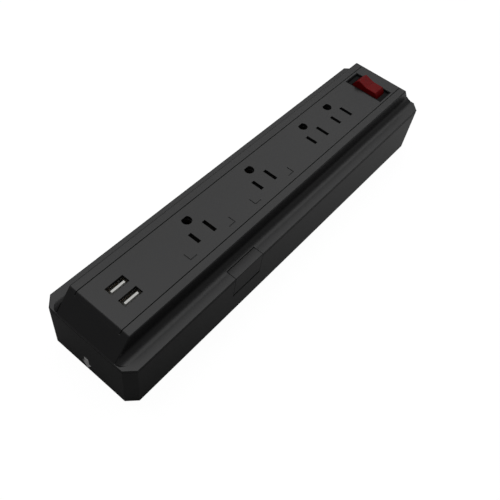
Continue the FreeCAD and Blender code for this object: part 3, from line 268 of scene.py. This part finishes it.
def wound_copper():
    """Enamelled copper wire in close turns 0.5 mm apart."""
    def sockets(tree):
        turns = add(tree, "ShaderNodeTexWave", {"bands_direction": "Z", "wave_profile": "SIN"}, {
            "Vector": place_of(tree), "Scale": 1/(0.5*MM*2*math.pi)*2, "Distortion": 0.4}).outputs["Fac"]
        return {
            "Base Color": blend_colours(tree, turns, "#6a2f12", "#b8652f"),
            "Roughness": ramp(tree, turns, 0.25, 0.4),
            "Metallic": 1.0,
            "Normal": relief(tree, turns, 0.15),
        }
    return shade("enamelled_copper", sockets)


def lamp_glass():
    """Clear glass tube of a neon lamp."""
    def sockets(tree):
        cloud = grain(tree, 2.0)
        return {
            "Base Color": blend_colours(tree, cloud, "#f4c8a8", "#ffe0c8"),
            "Roughness": ramp(tree, cloud, 0.03, 0.08),
            "IOR": 1.5,
            "Transmission Weight": 0.85,
        }
    return shade("neon_lamp_glass", sockets)


def finish_nodes():
    """Give every piece of the frame the finish of the real one."""
    case = moulded_abs("satin_black_abs", "#1c1c1d", "#202021", 0.42, 0.32, 0.28, 0.010)
    panel = moulded_abs("fine_black_abs", "#1d1d1e", "#212122", 0.40, 0.31, 0.2, 0.007)
    steel = metal("zinc_plated_steel", "#8d8f92", "#b4b6b8", 0.25, 0.4)
    brass = metal("rolled_brass", "#a27c3a", "#c8a050", 0.22, 0.36)
    spring = metal("spring_steel", "#5c5e62", "#8a8c90", 0.25, 0.38)
    block = plain_moulding("black_phenolic", "#151515", "#1c1b1a", 0.5)
    acetal = plain_moulding("black_acetal", "#18181a", "#222224", 0.34)
    finishes = [
        (case, ["lower_case", "top_cover", "press_tab"]),
        (panel, ["outlet_panel"]),
        (black_nylon(), ["switch_bezel", "switch_housing"]),
        (red_polycarbonate(), ["rocker"]),
        (white_nylon(), ["usb_tongue_1", "usb_tongue_2"]),
        (metal("nickel_plate", "#9a9a98", "#c4c4c0", 0.2, 0.34), ["usb_shell_1", "usb_shell_2"]),
        (metal("gold_flash", "#9c7430", "#c49a4a", 0.25, 0.38), ["usb_contacts"]),
        (brass, ["hot_bus", "neutral_bus", "ground_bus", "slip_rings", "switch_terminals"]),
        (steel, ["case_screws", "plate_screws", "board_screws", "filter_screws", "brake_pin", "reel_spindle",
                 "spindle_clip"]),
        (spring, ["tab_springs", "reel_spring"]),
        (plain_moulding("moulded_rubber", "#1d1d1e", "#262627", 0.75, 0.6, 0.03, 1.52), ["rubber_feet"]),
        (block, ["socket_block_%d" % number for number in (1, 2, 3, 4)] + ["bus_plate", "brush_block"]),
        (acetal, ["cord_reel", "brake_lever", "mouth_ring"]),
        (circuit_board(), ["filter_board", "usb_board"]),
        (plain_moulding("blue_epoxy", "#16349a", "#1f45b8", 0.3), ["varistors"]),
        (plain_moulding("yellow_film_case", "#b98a1a", "#d2a22a", 0.35), ["film_capacitor"]),
        (plain_moulding("sintered_ferrite", "#1c1c1e", "#2c2c2e", 0.55, 0.3, 0.02), ["usb_transformer_core"]),
        (wound_copper(), ["choke_coil", "usb_transformer_coil"]),
        (metal("drawn_aluminium", "#a8aaac", "#c8cacc", 0.25, 0.4), ["usb_capacitors", "thermal_fuse"]),
        (plain_moulding("carbon_brush", "#151515", "#202020", 0.6), ["ring_brushes"]),
        (lamp_glass(), ["neon_lamp"]),
    ]
    for item, names in finishes:
        for name in names:
            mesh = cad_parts[name].data
            mesh.materials.clear()
            mesh.materials.append(item)


# Printed arrow, the one piece that the frame doesn't hold

ARROW_PROUD = 0.04*MM
ARROW_MIDDLE = 1.9*MM
ARROW_LOW = 2.0*MM
ARROW_HIGH = 13.5*MM
ARROW_HEAD = 6.0*MM
ARROW_HALF = 3.4*MM
ARROW_STEM = 1.7*MM


def pull_arrow():
    """A plain printed arrow on the end face, pointing down to the cord mouth."""
    end_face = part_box("lower_case")[0].x
    tip = ARROW_LOW
    neck = ARROW_LOW + ARROW_HEAD
    corners = [(0, tip), (ARROW_HALF, neck), (ARROW_STEM, neck), (ARROW_STEM, ARROW_HIGH),
               (-ARROW_STEM, ARROW_HIGH), (-ARROW_STEM, neck), (-ARROW_HALF, neck)]
    shape = bmesh.new()
    points = [shape.verts.new((end_face, ARROW_MIDDLE + across, height)) for across, height in corners]
    face = shape.faces.new(points)
    lifted = bmesh.ops.extrude_face_region(shape, geom=[face])
    moved = [item for item in lifted["geom"] if isinstance(item, bmesh.types.BMVert)]
    bmesh.ops.translate(shape, verts=moved, vec=(-ARROW_PROUD, 0, 0))
    bmesh.ops.recalc_face_normals(shape, faces=shape.faces)
    mesh = bpy.data.meshes.new("pull_arrow")
    shape.to_mesh(mesh)
    shape.free()
    piece = bpy.data.objects.new("pull_arrow", mesh)
    bpy.context.scene.collection.objects.link(piece)
    mesh.materials.append(white_paint())
    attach(piece, "root")


# Floor and light

FLOOR_HALF = 20.0
FLOOR_COLOUR = "#707070"
FLOOR_SEEN = "#f0f0f0"
FLOOR_SHADOW = 0.12
FLOOR_WHITE = 1.09
# painted reflection: the share of white that a gloss sees on the floor ramps from none to its peak along x,
# towards the switch end
PAINTED_REFLECTION_FROM = -0.16
PAINTED_REFLECTION_TO = 0.20
GLOSS_SHARE = 0.22
ROOM_GLOSS_SHARE = 0.03


def background_share(tree, paths, gloss_share):
    """How far a ray sees the plain white background: the camera and glass wholly, a gloss a little."""
    gloss = add(tree, "ShaderNodeMath", {"operation": "MULTIPLY"}, {
        0: paths.outputs["Is Glossy Ray"], 1: gloss_share})
    seen = add(tree, "ShaderNodeMath", {"operation": "MAXIMUM"}, {
        0: paths.outputs["Is Camera Ray"], 1: paths.outputs["Is Transmission Ray"]})
    either = add(tree, "ShaderNodeMath", {"operation": "MAXIMUM"}, {0: seen.outputs[0], 1: gloss.outputs[0]})
    return either.outputs[0]


def make_floor():
    """A plain pale floor, white to the camera with a soft trace of the strip's shadow.
    Painted reflection: a gloss sees it brighter towards the switch end, so that the strip's long side
    reflects a floor painted lighter that way, as the real side gets lighter that way."""
    shape = bmesh.new()
    bmesh.ops.create_grid(shape, x_segments=1, y_segments=1, size=FLOOR_HALF)
    mesh = bpy.data.meshes.new("floor")
    shape.to_mesh(mesh)
    shape.free()
    floor = bpy.data.objects.new("floor", mesh)
    bpy.context.scene.collection.objects.link(floor)
    item, tree = new_material("pale_floor")
    paths = add(tree, "ShaderNodeLightPath")
    along = add(tree, "ShaderNodeSeparateXYZ", {}, {"Vector": place_of(tree)}).outputs["X"]
    # painted reflection: a gloss sees the floor whiter further along x, which lightens the strip's long side
    # towards the switch end
    gloss_share = ramp(tree, along, 0.0, GLOSS_SHARE, PAINTED_REFLECTION_FROM, PAINTED_REFLECTION_TO)
    colour = blend_colours(tree, paths.outputs["Is Camera Ray"], FLOOR_COLOUR, FLOOR_SEEN)
    white = add(tree, "ShaderNodeEmission", {}, {"Color": linear("#ffffff"), "Strength": FLOOR_WHITE})
    board = add(tree, "ShaderNodeBsdfDiffuse", {}, {"Color": colour})
    share = add(tree, "ShaderNodeMath", {"operation": "MULTIPLY"}, {
        0: background_share(tree, paths, gloss_share), 1: 1.0 - FLOOR_SHADOW})
    mixed = add(tree, "ShaderNodeMixShader", {}, {
        0: share.outputs[0], 1: board.outputs["BSDF"], 2: white.outputs["Emission"]})
    add(tree, "ShaderNodeOutputMaterial", {}, {"Surface": mixed.outputs["Shader"]})
    mesh.materials.append(item)


WORLD_LEVEL = 0.12
TOP_AT = Vector((0.45, 0.15, 0.9))
TOP_SIZE = (1.8, 1.2)
TOP_RADIANCE = 0.9
FRONT_AT = Vector((-0.22, 0.35, 0.9))
FRONT_SIZE = (0.35, 0.5)
FRONT_RADIANCE = 2.0


def softbox(name, place, size, radiance):
    """A rectangular area light of a given radiance, level above the strip."""
    lamp = bpy.data.lights.new(name, "AREA")
    lamp.shape = "RECTANGLE"
    lamp.size, lamp.size_y = size
    lamp.energy = math.pi*size[0]*size[1]*radiance
    piece = bpy.data.objects.new(name, lamp)
    piece.location = place
    bpy.context.scene.collection.objects.link(piece)


def make_light():
    """A broad softbox over the strip, a small one that draws the panel's front edge, and a dim room."""
    softbox("top_softbox", TOP_AT, TOP_SIZE, TOP_RADIANCE)
    softbox("front_softbox", FRONT_AT, FRONT_SIZE, FRONT_RADIANCE)
    world = bpy.data.worlds.new("room")
    bpy.context.scene.world = world
    world.use_nodes = True
    tree = world.node_tree
    tree.nodes.clear()
    paths = add(tree, "ShaderNodeLightPath")
    level = ramp(tree, background_share(tree, paths, ROOM_GLOSS_SHARE), WORLD_LEVEL, 1.0)
    room = add(tree, "ShaderNodeBackground", {}, {"Color": linear("#ffffff"), "Strength": level})
    add(tree, "ShaderNodeOutputWorld", {}, {"Surface": room.outputs["Background"]})


make_camera()
finish_nodes()
pull_arrow()
make_floor()
make_light()
bpy.context.scene.view_settings.view_transform = "Standard"
